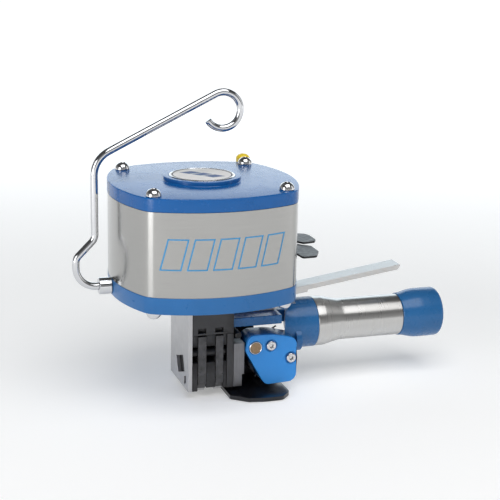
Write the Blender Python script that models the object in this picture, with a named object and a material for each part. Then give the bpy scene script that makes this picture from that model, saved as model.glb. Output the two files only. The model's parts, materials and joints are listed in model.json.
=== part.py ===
"""Pneumatic hand tool that tensions, notches and cuts steel strap.

Frame: +X along the strap towards the motor handle, +Z up, origin in the middle of the foot's underside.
All sizes below are millimetres; MM turns them into Blender's metres.
"""
import math

import bmesh
import bpy
from mathutils import Vector

MM = 0.001
GAP = 0.3                       # clearance between neighbouring pieces

# ---- drum: two caps, a stainless sleeve and the air cylinder inside ------------------------------
DRUM_X = -50.0                  # the drum's upright axis
DRUM_HALF = 88.8                # axis to the middle of a side
DRUM_SIDE_R = 145.0             # the sides bulge on this radius
DRUM_CORNER_R = 21.0
LOWER_CAP_Z = (101.8, 117.6)
UPPER_CAP_Z = (197.0, 209.3)
SLEEVE_WALL = 2.0
LINER_R = (74.0, 80.0)
SPIGOT = 4.0                    # depth of each cap's register inside the liner
BOSS_R = 37.0
BOSS_H = 4.2
BADGE_R = 31.5
BADGE_T = 1.6
SCREW_OFFSET = 63.1             # tie screws stand on a square about the drum's axis
SHANK_R = 4.0
DOME_R = 7.15
DOME_H = 7.4
SOCKET_R = 2.9
ROD_R = 9.0
PISTON_R = 73.6
PISTON_Z = (175.0, 192.0)

# ---- hook ----------------------------------------------------------------------------------------
HOOK_WIRE_R = 3.5
COLLAR_Z = 110.8
COLLAR_R = 8.0
COLLAR_X = (-151.0, -139.1)
CURL_CENTRE = (-30.2, 274.6)
CURL_R = 17.2
DIAGONAL = math.radians(26.3)

# ---- notcher: a stack of plates under the drum ---------------------------------------------------
STACK_Y = 33.0                  # half depth of the stack
STACK_TOP = 101.5
HEAD_BOTTOM = 64.0
STACK_BOTTOM = 7.4
LEFT_PLATE_X = (-71.5, -67.5)
SPACER_LEFT_X = (-67.2, -62.0)
JAW_LEFT_X = (-61.7, -53.6)
SPACER_CENTRE_X = (-53.3, -44.4)
JAW_RIGHT_X = (-44.1, -36.7)
SPACER_RIGHT_X = (-36.4, -33.2)
RIGHT_PLATE_X = (-32.9, -26.3)
JAW_PIVOT = (26.5, 45.0)        # distance from the middle plane, and height
JAW_PIN_R = 4.0
JAW_TIP_Z = 6.2

# ---- rocker: gear housing, tension wheel and motor handle ----------------------------------------
PIVOT = (-5.2, 48.0)            # X and Z of the rocker pin, which runs along Y
PIN_R = 6.3
WHEEL = (16.0, 27.0)            # X and Z of the tension wheel's shaft
WHEEL_R = 20.0
WHEEL_Y = (-9.5, 9.5)
WHEEL_SHAFT_R = 6.0
HOUSING_Y = (-33.0, -12.0)
COVER_Y = (-37.0, -33.3)
MOTOR_Z = 58.3                  # the handle's axis runs along X at this height
BARREL_X = (45.0, 64.8)         # full round part of the housing's barrel
BARREL_R = 25.2
SHROUD_X = 28.2                 # the barrel's front wall reaches left to here
SHROUD_Y = -10.2                # and is open behind this plane
SHROUD_R = 25.1
CAP_X = (158.3, 202.4)          # both ends of the handle's end cap
CAP_R = 25.1
MOTOR_BORE_R = 21.5
SHAFT_BORE_R = 4.6
WORM_BORE_R = 6.4
WORM_BORE_X = (2.2, 28.6)
WORM_WHEEL_CASE_R = 16.2
BEARING_R = 10.5
WORM_Y = -17.0
GEAR_MODULE = 1.25
PINION_TEETH = 16
TRANSFER_TEETH = 16
WORM_WHEEL_TEETH = 20
TRANSFER_X = (41.0, 44.4)
WORM_Z = MOTOR_Z - math.sqrt((GEAR_MODULE * (PINION_TEETH + TRANSFER_TEETH) / 2) ** 2 - WORM_Y ** 2)
COVER_SCREWS = ((10.5, 49.2), (31.2, 35.2))

# ---- foot, frame and lever -----------------------------------------------------------------------
FOOT_T = 4.0
BEAM_Z = (67.0, 76.0)
BEAM_Y = (-26.0, 0.0)
BEAM_STEP_Y = -9.0              # in front of this the beam is shorter, clear of the rocker's barrel
BEAM_RIB_X = (10.0, 34.0)
BEAM_RIB_Z = 63.0
LEVER_T = 2.0
LEVER_W = 20.0
LEVER_TIP = (156.0, 113.9)
LEVER_SLOPE = 0.1466
LEVER_FLANGE = 5.0
LEVER_LUG = 7.0                 # deeper flange next to the drum

# ---- valves and air inlet ------------------------------------------------------------------------
PADDLE_Z = 137.0
PADDLE_T = 2.0
PADDLE_AXIS = (43.0, 138.0)     # X and Z of the paddles' pin
PADDLE_WALL_X = 48.4            # the near paddle is cut away to here round the valve block's front wall
INLET = (19.0, 88.0)            # X and Y of the upright inlet body
INLET_R = 12.0
BUTTON_R = 7.2
BUTTON_TRAVEL = 3.0

FINISHES = {
    "cap_blue": ((0.09, 0.24, 0.55), 0.35, 0.2),
    "casting_blue": ((0.05, 0.17, 0.40), 0.32, 0.2),
    "cover_blue": ((0.08, 0.28, 0.62), 0.4, 0.2),
    "stainless": ((0.66, 0.66, 0.66), 0.3, 1.0),
    "satin_aluminium": ((0.62, 0.62, 0.61), 0.35, 1.0),
    "chrome": ((0.8, 0.8, 0.82), 0.08, 1.0),
    "bright_steel": ((0.6, 0.6, 0.62), 0.22, 1.0),
    "ground_steel": ((0.42, 0.43, 0.44), 0.4, 1.0),
    "black_oxide": ((0.035, 0.035, 0.037), 0.42, 0.8),
    "bronze": ((0.42, 0.27, 0.13), 0.4, 1.0),
    "badge_cream": ((0.75, 0.76, 0.72), 0.4, 0.0),
    "seal_rubber": ((0.02, 0.02, 0.02), 0.7, 0.0),
    "yellow_plastic": ((0.85, 0.6, 0.02), 0.35, 0.0),
}


# ---- modelling helpers ---------------------------------------------------------------------------
def clear_scene():
    for item in list(bpy.data.objects):
        bpy.data.objects.remove(item)


def give_material(item, finish):
    colour, roughness, metallic = FINISHES[finish]
    material = bpy.data.materials.new(item.name + "_finish")
    material.use_nodes = True
    shader = material.node_tree.nodes["Principled BSDF"]
    shader.inputs["Base Color"].default_value = (*colour, 1.0)
    shader.inputs["Roughness"].default_value = roughness
    shader.inputs["Metallic"].default_value = metallic
    item.data.materials.append(material)


def add_mesh(name, points, faces, finish=None, smooth=True):
    """A mesh object from points in millimetres; with no finish it is only a cutting or joining tool."""
    builder = bmesh.new()
    verts = [builder.verts.new(Vector(p) * MM) for p in points]
    for face in faces:
        builder.faces.new([verts[i] for i in face])
    bmesh.ops.recalc_face_normals(builder, faces=builder.faces)
    mesh = bpy.data.meshes.new(name)
    builder.to_mesh(mesh)
    builder.free()
    item = bpy.data.objects.new(name, mesh)
    bpy.context.collection.objects.link(item)
    if smooth:
        mesh.shade_smooth()
        mesh.set_sharp_from_angle(angle=math.radians(32))
    if finish:
        give_material(item, finish)
    else:
        item.hide_render = True
        item.display_type = "WIRE"
    return item


def place(axis, along, u, v):
    """A point given by its place along an axis and two coordinates across it, in X, Y, Z order."""
    return {"X": (along, u, v), "Y": (u, along, v), "Z": (u, v, along)}[axis]


def prism(name, outline, axis, low, high, finish=None, smooth=True):
    """A flat outline, given across the axis, extruded from low to high along it."""
    count = len(outline)
    points = [place(axis, level, u, v) for level in (low, high) for u, v in outline]
    faces = [list(range(count)), list(range(count, 2 * count))]
    faces += [[i, (i + 1) % count, count + (i + 1) % count, count + i] for i in range(count)]
    return add_mesh(name, points, faces, finish, smooth)


def box(name, x, y, z, finish=None):
    outline = [(x[0], y[0]), (x[1], y[0]), (x[1], y[1]), (x[0], y[1])]
    return prism(name, outline, "Z", z[0], z[1], finish, smooth=False)


def turned(name, profile, axis, centre, finish=None, steps=48):
    """A closed profile of (along, radius) points turned about the axis through centre.

    A profile with points on the axis is a solid, closed there by a flat face; any other is a ring.
    """
    solid = any(radius == 0 for _, radius in profile)
    if solid:
        while profile[0][1] or profile[-1][1]:
            profile = profile[1:] + profile[:1]
        profile = [point for point in profile if point[1] > 0]
    points = []
    for along, radius in profile:
        for step in range(steps):
            angle = 2 * math.pi * step / steps
            u = centre[0] + radius * math.cos(angle)
            v = centre[1] + radius * math.sin(angle)
            points.append(place(axis, along, u, v))
    rings = [list(range(start, start + steps)) for start in range(0, len(points), steps)]
    faces = [rings[0], rings[-1]] if solid else []
    for lower, upper in zip(rings, rings[1:] if solid else rings[1:] + rings[:1]):
        for i in range(steps):
            j = (i + 1) % steps
            faces.append([lower[i], lower[j], upper[j], upper[i]])
    return add_mesh(name, points, faces, finish)


def rod(name, axis, centre, radius, low, high, finish=None, steps=32, chamfer=0.0):
    profile = [(low, 0), (low, radius - chamfer), (high, radius - chamfer), (high, 0)]
    if chamfer:
        profile[2:2] = [(low + chamfer, radius), (high - chamfer, radius)]
    return turned(name, profile, axis, centre, finish, steps)


def ring(name, axis, centre, inner, outer, low, high, finish=None, steps=32):
    profile = [(low, inner), (low, outer), (high, outer), (high, inner)]
    return turned(name, profile, axis, centre, finish, steps)


def boolean(item, tool, operation):
    change = item.modifiers.new(operation.lower() + "_" + tool.name, "BOOLEAN")
    change.operation = operation
    change.object = tool
    change.solver = "EXACT"


def cut(item, *tools):
    for tool in tools:
        boolean(item, tool, "DIFFERENCE")


def join(item, *tools):
    for tool in tools:
        boolean(item, tool, "UNION")


def hang_on(pivot_name, pivot, items):
    """Parents moving pieces to an empty that stands on their joint's axis."""
    empty = bpy.data.objects.new(pivot_name, None)
    empty.location = Vector(pivot) * MM
    empty.empty_display_size = 0.01
    bpy.context.collection.objects.link(empty)
    bpy.context.view_layer.update()
    for item in items:
        item.parent = empty
        item.matrix_parent_inverse = empty.matrix_world.inverted()
    return empty


def arc(centre, radius, start, end, steps):
    """Points on an arc, angles in degrees, both ends included."""
    points = []
    for step in range(steps + 1):
        angle = math.radians(start + (end - start) * step / steps)
        points.append((centre[0] + radius * math.cos(angle), centre[1] + radius * math.sin(angle)))
    return points


def filleted(corners, steps=6, closed=True):
    """Corners given as (u, v, radius); each is rounded with an arc of that radius."""
    count = len(corners)
    outline = []
    for i, (u, v, radius) in enumerate(corners):
        if radius == 0 or (not closed and i in (0, count - 1)):
            outline.append((u, v))
            continue
        here = Vector((u, v))
        before = (Vector(corners[i - 1][:2]) - here).normalized()
        after = (Vector(corners[(i + 1) % count][:2]) - here).normalized()
        half = before.angle(after) / 2
        reach = radius / math.tan(half)
        middle = here + (before + after).normalized() * radius / math.sin(half)
        start = here + before * reach - middle
        end = here + after * reach - middle
        sweep = start.angle_signed(end)
        for step in range(steps + 1):
            turn = -sweep * step / steps
            outline.append((middle.x + start.x * math.cos(turn) - start.y * math.sin(turn),
                            middle.y + start.x * math.sin(turn) + start.y * math.cos(turn)))
    return outline


def gear_outline(centre, teeth, module, phase=0.0):
    """Slim trapezoid teeth, cut a little thin so that a pair runs with play."""
    pitch_r = teeth * module / 2
    pitch = 2 * math.pi / teeth
    outline = []
    for tooth in range(teeth):
        middle = math.radians(phase) + tooth * pitch
        for offset, radius in ((-0.24, pitch_r - 1.2 * module), (-0.1, pitch_r + 0.8 * module),
                               (0.1, pitch_r + 0.8 * module), (0.24, pitch_r - 1.2 * module)):
            angle = middle + offset * pitch
            outline.append((centre[0] + radius * math.cos(angle), centre[1] + radius * math.sin(angle)))
    return outline


# ---- drum ----------------------------------------------------------------------------------------
def drum_outline(inset=0.0, side_steps=6, corner_steps=4):
    """The bulged square, as eight tangent arcs about the drum's axis."""
    side_r = DRUM_SIDE_R - inset
    corner_r = DRUM_CORNER_R - inset
    offset = DRUM_SIDE_R - DRUM_HALF
    between = side_r - corner_r
    corner = (-offset + math.sqrt(2 * between ** 2 - offset ** 2)) / 2
    spread = math.degrees(math.atan2(corner, corner + offset))
    quarter = arc((-offset, 0), side_r, -spread, spread, side_steps)
    quarter += arc((corner, corner), corner_r, spread, 90 - spread, corner_steps)[1:-1]
    outline = []
    for turn in range(4):
        c, s = round(math.cos(turn * math.pi / 2)), round(math.sin(turn * math.pi / 2))
        outline += [(DRUM_X + u * c - v * s, u * s + v * c) for u, v in quarter]
    return outline


def screw_places():
    signs = ((-1, -1), (1, -1), (1, 1), (-1, 1))
    return [(DRUM_X + sx * SCREW_OFFSET, sy * SCREW_OFFSET) for sx, sy in signs]


def stacked(name, sections, finish=None):
    """A solid through several outlines with the same number of points, from the bottom up."""
    count = len(sections[0][1])
    points = [(u, v, z) for z, outline in sections for u, v in outline]
    faces = [list(range(count)), list(range(len(points) - count, len(points)))]
    for level in range(len(sections) - 1):
        base = level * count
        faces += [[base + i, base + (i + 1) % count, base + count + (i + 1) % count, base + count + i]
                  for i in range(count)]
    return add_mesh(name, points, faces, finish)


def make_caps():
    axis = (DRUM_X, 0)
    low, high = UPPER_CAP_Z
    upper = stacked("upper_cap", [(low, drum_outline(0.3)), (low + 0.3, drum_outline()),
                                  (high - 1.2, drum_outline()), (high - 0.35, drum_outline(0.35)),
                                  (high, drum_outline(1.2))], "cap_blue")
    join(upper,
         rod("upper_spigot", "Z", axis, LINER_R[0] - GAP, low - SPIGOT, low + 1, steps=36),
         turned("cap_boss", [(high - 1, 0), (high - 1, BOSS_R), (high + BOSS_H - 0.8, BOSS_R),
                             (high + BOSS_H, BOSS_R - 0.8), (high + BOSS_H, BADGE_R + GAP),
                             (high + BOSS_H - 1.2, BADGE_R + GAP), (high + BOSS_H - 1.2, 0)],
                "Z", axis, steps=40))
    low, high = LOWER_CAP_Z
    lower = stacked("lower_cap", [(low, drum_outline(1.2)), (low + 0.35, drum_outline(0.35)),
                                  (low + 1.2, drum_outline()), (high - 0.3, drum_outline()),
                                  (high, drum_outline(0.3))], "cap_blue")
    join(lower, rod("lower_spigot", "Z", axis, LINER_R[0] - GAP, high - 1, high + SPIGOT, steps=36))
    cut(lower, rod("rod_bore", "Z", axis, ROD_R + GAP, low - 5, high + SPIGOT + 5))
    for index, centre in enumerate(screw_places()):
        hole = rod("tie_hole_%d" % (index + 1), "Z", centre, SHANK_R + GAP, 90, 220, steps=16)
        cut(upper, hole)
        cut(lower, hole)


def make_cylinder():
    low = LOWER_CAP_Z[1] + GAP
    high = UPPER_CAP_Z[0] - GAP
    sleeve = stacked("cylinder_sleeve", [(low, drum_outline(0.25)), (high, drum_outline(0.25))], "stainless")
    hollow = drum_outline(0.25 + SLEEVE_WALL)
    cut(sleeve, stacked("sleeve_hollow", [(low - 5, hollow), (high + 5, hollow)]))
    ring("cylinder_liner", "Z", (DRUM_X, 0), *LINER_R, low, high, "satin_aluminium", steps=36)


def make_badge():
    low = UPPER_CAP_Z[1] + BOSS_H - 1.2 + GAP
    profile = [(low, 0), (low, BADGE_R), (low + BADGE_T - 0.5, BADGE_R), (low + BADGE_T, BADGE_R - 0.5),
               (low + BADGE_T, 0)]
    turned("badge_plate", profile, "Z", (DRUM_X, 0), "badge_cream", steps=40)


def dome_head(name, centre, base, up, shank_end, finish):
    """A dome-headed socket piece: up is 1 for a head that points up and -1 for one that points down."""
    curve = [(base + up * DOME_H * math.sin(math.radians(a)), DOME_R * math.cos(math.radians(a)) ** 0.8)
             for a in (22, 45, 66)]
    top = base + up * DOME_H
    profile = [(shank_end, 0), (shank_end, SHANK_R), (base, SHANK_R), (base, DOME_R)] + curve
    profile += [(top, SOCKET_R), (top - up * 4.0, SOCKET_R), (top - up * 4.0, 0)]
    return turned(name, profile, "Z", centre, finish, steps=12)


def make_tie_screws():
    for index, centre in enumerate(screw_places()):
        dome_head("tie_screw_%d" % (index + 1), centre, UPPER_CAP_Z[1] + GAP, 1, 152, "bright_steel")
        dome_head("cap_nut_%d" % (index + 1), centre, LOWER_CAP_Z[0] - GAP, -1, 150, "bright_steel")


def make_piston():
    """Piston with its seal, and the rod whose wedge opens the upper arms of the jaws."""
    axis = (DRUM_X, 0)
    low, high = PISTON_Z
    groove = (low + 6, low + 11)
    turned("piston", [(low, 0), (low, PISTON_R), (groove[0], PISTON_R), (groove[0], PISTON_R - 4),
                      (groove[1], PISTON_R - 4), (groove[1], PISTON_R), (high, PISTON_R), (high, 0)],
           "Z", axis, "satin_aluminium", steps=36)
    ring("piston_seal", "Z", axis, PISTON_R - 4 + GAP, PISTON_R + 0.1, groove[0] + GAP, groove[1] - GAP,
         "seal_rubber", steps=36)
    piston_rod = rod("piston_rod", "Z", axis, ROD_R, 72, low - GAP, "bright_steel")
    wedge = [(-8, 66), (8, 66), (12, 74), (12, 80), (-12, 80), (-12, 74)]
    join(piston_rod, prism("jaw_wedge", wedge, "X", JAW_LEFT_X[0], JAW_RIGHT_X[1]))
    hang_on("piston_slide_axis", (DRUM_X, 0, low),
            [bpy.data.objects[n] for n in ("piston", "piston_seal", "piston_rod")])


# ---- hook ----------------------------------------------------------------------------------------
def hook_path():
    """Centre line of the hook wire in X and Z: from the collar round the loop, up, over and into the curl."""
    rise = (math.cos(DIAGONAL), math.sin(DIAGONAL))
    tangent = (CURL_CENTRE[0] - CURL_R * rise[1], CURL_CENTRE[1] + CURL_R * rise[0])
    upright_x = DRUM_X - 104.0
    left_x = DRUM_X - 122.3
    reach = (tangent[0] - upright_x) / rise[0]
    shoulder = (upright_x, tangent[1] - reach * rise[1])
    corners = [(COLLAR_X[1] - 2.2, COLLAR_Z, 0), (left_x, COLLAR_Z, 19.0), (left_x, 138.7, 10.0),
               (upright_x, 157.0, 10.0), (*shoulder, 25.0), (*tangent, 0)]
    path = filleted(corners, steps=6, closed=False)
    start = 90 + math.degrees(DIAGONAL)
    return path + arc(CURL_CENTRE, CURL_R, start, -148, 22)[1:]


def make_hook():
    curve = bpy.data.curves.new("hook_wire", "CURVE")
    curve.dimensions = "3D"
    curve.bevel_depth = HOOK_WIRE_R * MM
    curve.bevel_resolution = 2
    curve.use_fill_caps = True
    path = hook_path()
    spline = curve.splines.new("POLY")
    spline.points.add(len(path) - 1)
    for point, (x, z) in zip(spline.points, path):
        point.co = (x * MM, 0, z * MM, 1)
    wire = bpy.data.objects.new("hook_wire", curve)
    bpy.context.collection.objects.link(wire)
    give_material(wire, "chrome")
    hang_on("hook_swivel_axis", (COLLAR_X[0], 0, COLLAR_Z), [wire])

    axis = (0, COLLAR_Z)
    collar = turned("hook_collar", [(COLLAR_X[1], 0), (COLLAR_X[1], COLLAR_R), (COLLAR_X[0] + 0.8, COLLAR_R),
                                    (COLLAR_X[0], COLLAR_R - 0.8), (COLLAR_X[0], HOOK_WIRE_R + GAP),
                                    (COLLAR_X[1] - 1.9, HOOK_WIRE_R + GAP), (COLLAR_X[1] - 1.9, 0)],
                    "X", axis, "chrome", steps=28)
    middle = ((COLLAR_X[0] + COLLAR_X[1]) / 2, COLLAR_Z)
    cut(collar, rod("set_screw_hole", "Y", middle, 2.8, -12, -3.0, steps=14))
    turned("collar_set_screw", [(-4.2, 0), (-4.2, 2.5), (-7.2, 2.5), (-7.2, 1.5), (-5.4, 1.5), (-5.4, 0)],
           "Y", middle, "black_oxide", steps=14)


# ---- valves and air inlet ------------------------------------------------------------------------
def side_x(y):
    """X of the drum's right side at a given Y."""
    return DRUM_X + DRUM_HALF - DRUM_SIDE_R + math.sqrt(DRUM_SIDE_R ** 2 - y ** 2)


def make_valves():
    """Valve block on the drum's right side, with two thumb paddles on one pin."""
    inner = [(side_x(y) + GAP, y) for y in (48, 40, 32, 24, 16, 8, 2)]
    block = prism("valve_block", inner + [(46.8, 2), (54, 30), (54, 48)], "Z", 112, 156, "black_oxide", False)
    pin_hole = rod("paddle_pin_hole", "Y", PADDLE_AXIS, 1.8, -10, 60, steps=16)
    cut(block, box("paddle_slot", (39.5, 60), (4, 47), (PADDLE_Z - 5.0, PADDLE_Z + 6.0)), pin_hole)
    rod("paddle_pin", "Y", PADDLE_AXIS, 1.5, 2.5, 47.5, "bright_steel", steps=16)
    wings = {
        "tension_paddle": (PADDLE_Z + PADDLE_T, (27, 46.5), [
            (42, 27, 0), (42, 46.5, 0), (56, 46.5, 0), (64, 42.5, 3), (70.5, 39.5, 3), (73.3, 33, 3),
            (73.3, 14.5, 3), (69.8, 8.3, 2), (57.5, 5.8, 1.5), (53.2, 12, 1), (52.5, 27, 0)]),
        "notch_paddle": (PADDLE_Z, (5, 26), [
            (42, 5, 0), (42, 26, 0), (50.5, 26, 0), (51, 11, 0), (56, 3.8, 2), (62.6, -1.5, 3),
            (62.3, -23, 6), (54.5, -38.3, 4), (40, -39.4, 3), (38.6, -21, 3), (39.6, 1, 1), (PADDLE_WALL_X, 1, 0),
            (PADDLE_WALL_X, 5, 0)]),
    }
    for name, (top, knuckle, corners) in wings.items():
        paddle = prism(name, filleted(corners, 3), "Z", top - PADDLE_T, top, "black_oxide", smooth=False)
        join(paddle, rod(name + "_knuckle", "Y", PADDLE_AXIS, 3.0, *knuckle, steps=16))
        cut(paddle, pin_hole)
        hang_on(name + "_axis", (PADDLE_AXIS[0], knuckle[0], PADDLE_AXIS[1]), [paddle])


# ---- notcher -------------------------------------------------------------------------------------
def make_head():
    """Block that carries the plates, bolted under the lower cap and hollow for the rod and its wedge."""
    head = box("notcher_head", (LEFT_PLATE_X[1] + GAP, RIGHT_PLATE_X[1]), (-STACK_Y, STACK_Y),
               (HEAD_BOTTOM, STACK_TOP), "black_oxide")
    cut(head,
        rod("head_bore", "Z", (DRUM_X, 0), ROD_R + GAP, 80, 110),
        box("wedge_pocket", (JAW_LEFT_X[0] - 1.2, JAW_RIGHT_X[1] + 1.2), (-13.5, 13.5), (60, 84)))
    for x in ((-62.0, -54.0), (-45.0, -37.0)):
        cut(head, box("head_recess_%d" % -x[0], x, (-STACK_Y - 2, -STACK_Y + 4), (66.0, 70.5)))


def side_plate(name, x, bottom, top, finish):
    return box(name, x, (-STACK_Y, STACK_Y), (bottom, top), finish)


def spacer(name, x, bottom):
    """Plate between two jaws, notched front and rear and lowered in the middle for the wedge."""
    half = [(STACK_Y - 0.6, bottom), (STACK_Y - 0.6, 36.0), (17.0, 37.0), (17.0, 52.0), (STACK_Y - 0.6, 52.6),
            (STACK_Y - 0.6, HEAD_BOTTOM - GAP), (13.5, HEAD_BOTTOM - GAP), (13.5, 49.0)]
    outline = half + [(-y, z) for y, z in reversed(half)]
    plate = prism(name, outline, "X", *x, "black_oxide", smooth=False)
    return plate


def jaw(name, x, side):
    """side is -1 for a front jaw and 1 for a rear one."""
    outline = [(STACK_Y, 15.0), (STACK_Y, HEAD_BOTTOM - 1.6), (21.0, HEAD_BOTTOM - 1.6), (19.5, 52.0),
               (20.5, 38.0), (23.5, 30.0), (23.0, 16.0), (19.0, 11.5), (19.5, JAW_TIP_Z + 0.4),
               (26.0, JAW_TIP_Z)]
    outline = [(side * y, z) for y, z in outline]
    plate = prism(name, outline, "X", *x, "black_oxide", smooth=False)
    hang_on(name + "_axis", (x[0], side * JAW_PIVOT[0], JAW_PIVOT[1]), [plate])
    return plate


def make_notcher():
    make_head()
    left = side_plate("left_side_plate", LEFT_PLATE_X, STACK_BOTTOM, STACK_TOP, "ground_steel")
    window = [(12.7, 30.3), (-12.7, 39.0), (-19.3, 24.1), (4.8, 15.6)]
    slit = [(-17.0, 18.6), (-24.1, 21.2), (-24.1, 13.6), (-17.0, 10.9)]
    for word, outline in (("window", window), ("slit", slit)):
        cut(left, prism("side_plate_" + word, outline, "X", LEFT_PLATE_X[0] - 1, LEFT_PLATE_X[1] + 1))
    side_plate("right_side_plate", RIGHT_PLATE_X, STACK_BOTTOM + 1.4, HEAD_BOTTOM - GAP, "black_oxide")
    plates = [spacer("spacer_left", SPACER_LEFT_X, STACK_BOTTOM),
              spacer("spacer_centre", SPACER_CENTRE_X, 10.3),
              spacer("spacer_right", SPACER_RIGHT_X, 9.0)]
    for x, word in ((JAW_LEFT_X, "left"), (JAW_RIGHT_X, "right")):
        plates.append(jaw("jaw_front_" + word, x, -1))
        plates.append(jaw("jaw_rear_" + word, x, 1))
    for side, word in ((-1, "front"), (1, "rear")):
        centre = (side * JAW_PIVOT[0], JAW_PIVOT[1])
        hole = rod("jaw_pin_hole_" + word, "X", centre, JAW_PIN_R + 0.2, -75, -30, steps=16)
        for plate in plates:
            if word in plate.name or plate.name.startswith("spacer"):
                cut(plate, hole)
        rod("jaw_pin_" + word, "X", centre, JAW_PIN_R, SPACER_LEFT_X[0] + GAP, SPACER_RIGHT_X[1] - GAP,
            "bright_steel", steps=16)
    guide = [(-26.0, 9.0), (-17.4, 9.0), (-17.4, 21.0), (-15.2, 21.0), (-15.2, 53.0), (-26.0, 53.0)]
    prism("guide_block", guide, "Y", -STACK_Y, -18.0, "ground_steel", smooth=False)
    rod("guide_pin", "Y", (-21.6, 61.0), 3.3, -33.5, -8.0, "ground_steel", steps=16, chamfer=0.5)
    box("cutter_blade", (-25.9, -21.9), (-16.5, 11.0), (11.0, 44.0), "ground_steel")


# ---- frame, foot and lever -----------------------------------------------------------------------
def make_foot():
    corners = [(-32, -42, 3), (-17, -54.5, 6), (-2, -57.5, 30), (17, -57.5, 8), (27.6, -46, 9), (27.6, 30, 4),
               (-32, 30, 4)]
    foot = prism("foot_plate", filleted(corners, 5), "Z", 0, FOOT_T, "black_oxide")
    cut(foot, rod("plug_pocket", "Z", (WHEEL[0], 0), 8.0 + GAP, FOOT_T - 2, FOOT_T + 5))
    rod("gripper_plug", "Z", (WHEEL[0], 0), 8.0, FOOT_T - 2 + GAP, WHEEL[1] - WHEEL_R - 0.9, "bright_steel",
        chamfer=0.4)


def make_frame():
    """Rear cheek that stands on the foot and holds the rocker pin, and the blue beam under the drum."""
    top = BEAM_Z[0] - GAP
    cheek = [(-26.0, FOOT_T + GAP), (12.0, FOOT_T + GAP), (12.0, 34.0), (8.0, 58.0), (-2.0, top), (-26.0, top)]
    rear = prism("rear_frame", cheek, "Y", 12.0, 30.0, "black_oxide", smooth=False)
    cut(rear, rod("rear_pin_hole", "Y", PIVOT, PIN_R + GAP, 5, 40, steps=28))
    beam = box("frame_beam", (RIGHT_PLATE_X[1] + GAP, 25.2), BEAM_Y, BEAM_Z, "casting_blue")
    join(beam, box("beam_rear_rib", BEAM_RIB_X, (BEAM_STEP_Y, BEAM_Y[1]), (BEAM_RIB_Z, BEAM_Z[1])))
    rod("rocker_pin", "Y", PIVOT, PIN_R, -37.6, 30.5, "bronze", steps=28, chamfer=0.6)


def lever_line():
    """Upper face of the lever in X and Z: flat on the beam, up past the drum, then straight to the tip."""
    rise_x = 30.0
    rise_z = LEVER_TIP[1] - (LEVER_TIP[0] - rise_x) * LEVER_SLOPE
    return filleted([(-24.0, BEAM_Z[1] + GAP + LEVER_T, 0), (24.0, BEAM_Z[1] + GAP + LEVER_T, 4),
                     (rise_x, rise_z, 5), (*LEVER_TIP, 0)], 5, closed=False)


def make_lever():
    """Stainless strip bent up past the drum, its edges folded down, with a deeper lug near the drum."""
    upper = lever_line()
    lower = []
    for i, (x, z) in enumerate(upper):
        before = Vector(upper[max(i - 1, 0)])
        after = Vector(upper[min(i + 1, len(upper) - 1)])
        along = (after - before).normalized()
        lower.append((x + along.y * LEVER_T, z - along.x * LEVER_T))
    strip = prism("rocker_lever", upper + lower[::-1], "Y", -LEVER_W / 2, LEVER_W / 2, "stainless")
    lug_x = (40.0, 57.4)
    tip_x, tip_z = LEVER_TIP

    def edge_z(x, down):
        return tip_z - (tip_x - x) * LEVER_SLOPE - down

    flange = [(lug_x[0], edge_z(lug_x[0], 0.6)), (lug_x[0], edge_z(lug_x[0], LEVER_LUG)),
              (lug_x[1], edge_z(lug_x[1], LEVER_LUG)),
              (lug_x[1], edge_z(lug_x[1], LEVER_FLANGE)), (tip_x - 2.6, edge_z(tip_x - 2.6, LEVER_FLANGE)),
              (tip_x - 0.4, edge_z(tip_x, 2.6)), (tip_x - 0.4, edge_z(tip_x, 0.6))]
    for side in (-1, 1):
        edge = sorted((side * LEVER_W / 2, side * (LEVER_W / 2 - LEVER_T)))
        join(strip, prism("lever_flange_%d" % (side + 2), flange, "Y", *edge))


# ---- rocker --------------------------------------------------------------------------------------
def cover_outline(inset=0.0):
    corners = [(-15.0, 45.0, 8), (-12.5, 61.0, 8), (13.0, 60.6, 60), (37.4, 54.3, 8.5), (37.4, 10.6, 8.5),
               (4.8, 9.4, 8)]
    middle = (14.0, 34.0)
    outline = filleted(corners, 5)
    return [(x + (middle[0] - x) * inset, z + (middle[1] - z) * inset) for x, z in outline]


def make_shroud():
    """The barrel's front wall: it reaches left over the gear train, and is open behind and scooped above."""
    shroud = rod("barrel_shroud", "X", (0, MOTOR_Z), SHROUD_R, SHROUD_X, BARREL_X[0] + 1.3, steps=48)
    scoop = [(20, 68), (28.5, 70.5), (31.8, 75.8), (36.4, 79.3), (42.9, 82.3), (48.5, 84.6), (48.5, 95),
             (20, 95)]
    slant = [(20, -30), (28.1, -30), (28.5, -25.3), (34.2, -8), (34.2, 1), (20, 1)]
    cut(shroud,
        box("shroud_back", (SHROUD_X - 2, BARREL_X[0] + 5), (SHROUD_Y, 40), (19, 96)),
        prism("shroud_scoop", scoop, "Y", -41, 41),
        prism("shroud_slant", slant, "Z", 18, 97))
    return shroud


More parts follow.
